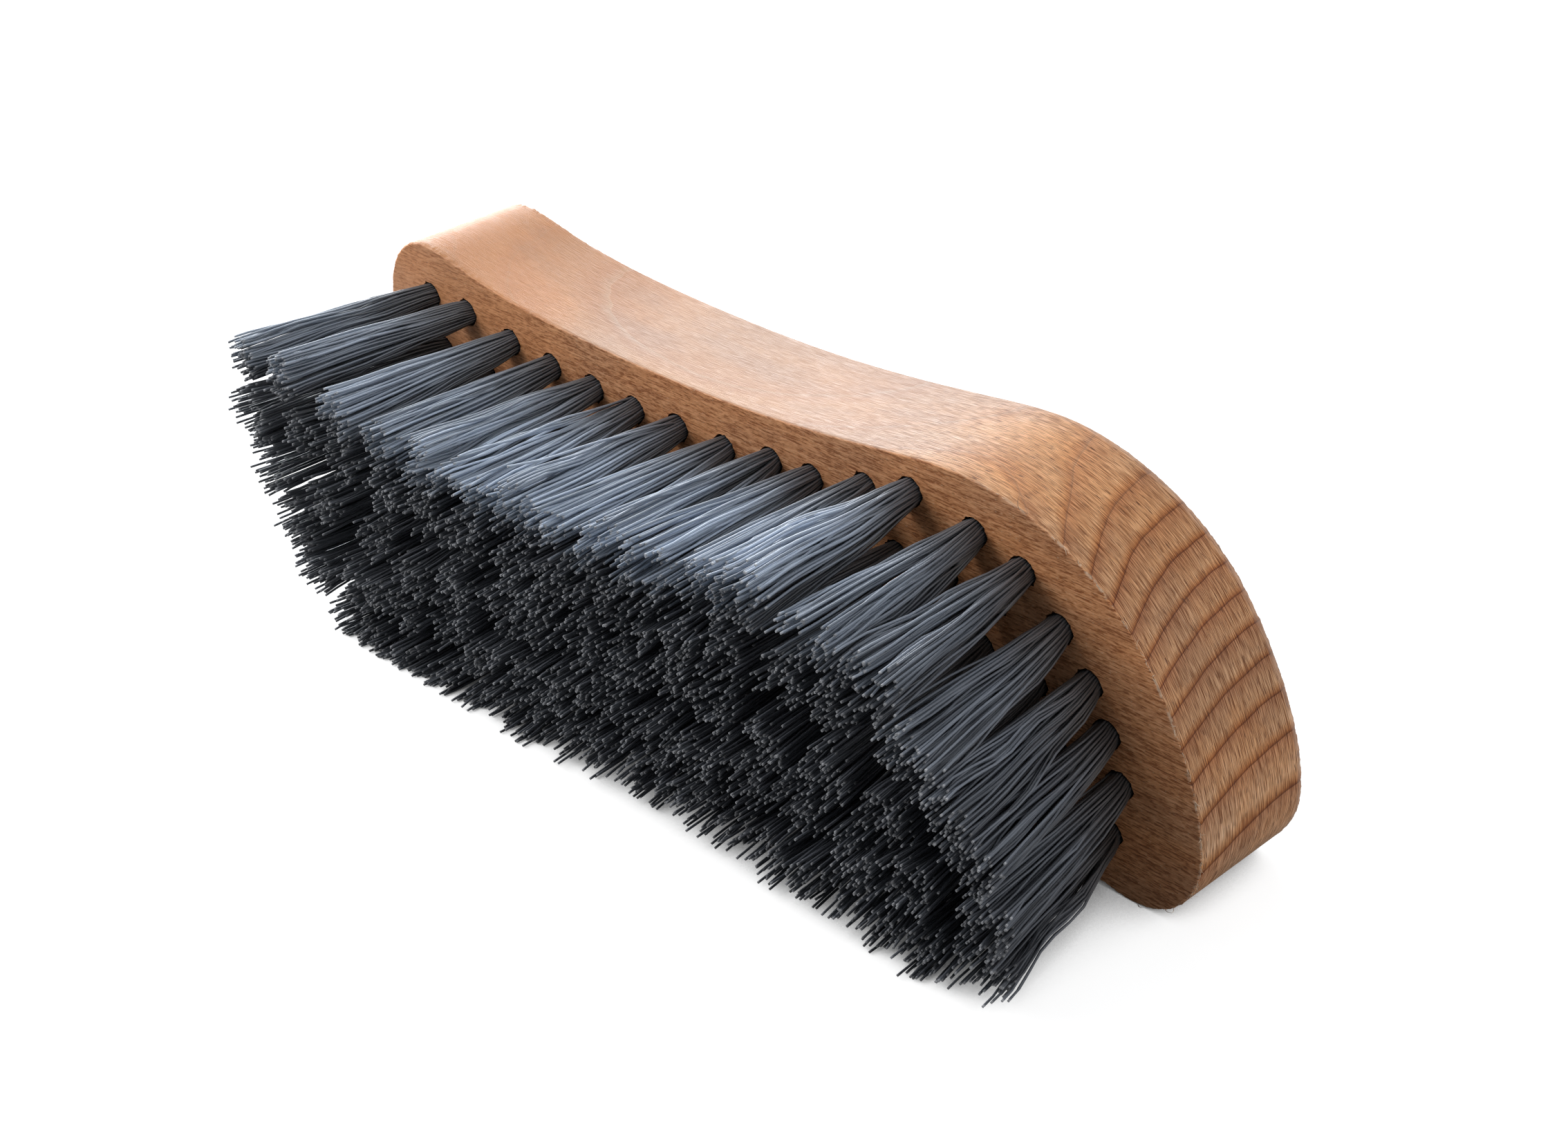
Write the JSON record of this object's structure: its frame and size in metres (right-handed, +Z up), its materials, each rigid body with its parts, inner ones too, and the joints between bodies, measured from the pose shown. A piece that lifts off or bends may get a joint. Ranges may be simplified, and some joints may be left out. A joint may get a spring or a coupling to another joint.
{
  "type": "horse grooming brush",
  "caption": "Horse brush with an S-shaped solid beech block and stiff blue-grey plastic bristle tufts, lying on its long edge.",
  "frame": {"origin": "middle of the overall box's underside, on the surface that the brush's long edge lies on", "axes": "+X along the block, with the sharper shoulder of the upper edge at +X; +Y out of the block's plain back, so the bristles point to -Y; +Z up"},
  "size_m": [0.2101, 0.0666, 0.067],
  "materials": {
    "beech": "sanded and lightly oiled",
    "bristle": "satin filament",
    "steel": "drawn flat wire"
  },
  "bodies": {
    "root": {"block": "beech", "tuft_upper_01": "bristle", "tuft_upper_02": "bristle", "tuft_upper_03": "bristle", "tuft_upper_04": "bristle", "tuft_upper_05": "bristle", "tuft_upper_06": "bristle", "tuft_upper_07": "bristle", "tuft_upper_08": "bristle", "tuft_upper_09": "bristle", "tuft_upper_10": "bristle", "tuft_upper_11": "bristle", "tuft_upper_12": "bristle", "tuft_upper_13": "bristle", "tuft_upper_14": "bristle", "tuft_upper_15": "bristle", "tuft_upper_16": "bristle", "tuft_upper_17": "bristle", "tuft_upper_18": "bristle", "tuft_lower_01": "bristle", "tuft_lower_02": "bristle", "tuft_lower_03": "bristle", "tuft_lower_04": "bristle", "tuft_lower_05": "bristle", "tuft_lower_06": "bristle", "tuft_lower_07": "bristle", "tuft_lower_08": "bristle", "tuft_lower_09": "bristle", "tuft_lower_10": "bristle", "tuft_lower_11": "bristle", "tuft_lower_12": "bristle", "tuft_lower_13": "bristle", "tuft_lower_14": "bristle", "tuft_lower_15": "bristle", "tuft_lower_16": "bristle", "tuft_lower_17": "bristle", "tuft_lower_18": "bristle", "bristle_row_2": "bristle", "bristle_row_3": "bristle", "bristle_row_4": "bristle", "anchor_01": "steel", "anchor_02": "steel", "anchor_03": "steel", "anchor_04": "steel", "anchor_05": "steel", "anchor_06": "steel", "anchor_07": "steel", "anchor_08": "steel", "anchor_09": "steel", "anchor_10": "steel", "anchor_11": "steel", "anchor_12": "steel", "anchor_13": "steel", "anchor_14": "steel", "anchor_15": "steel", "anchor_16": "steel", "anchor_17": "steel", "anchor_18": "steel"}
  },
  "joints": []
}
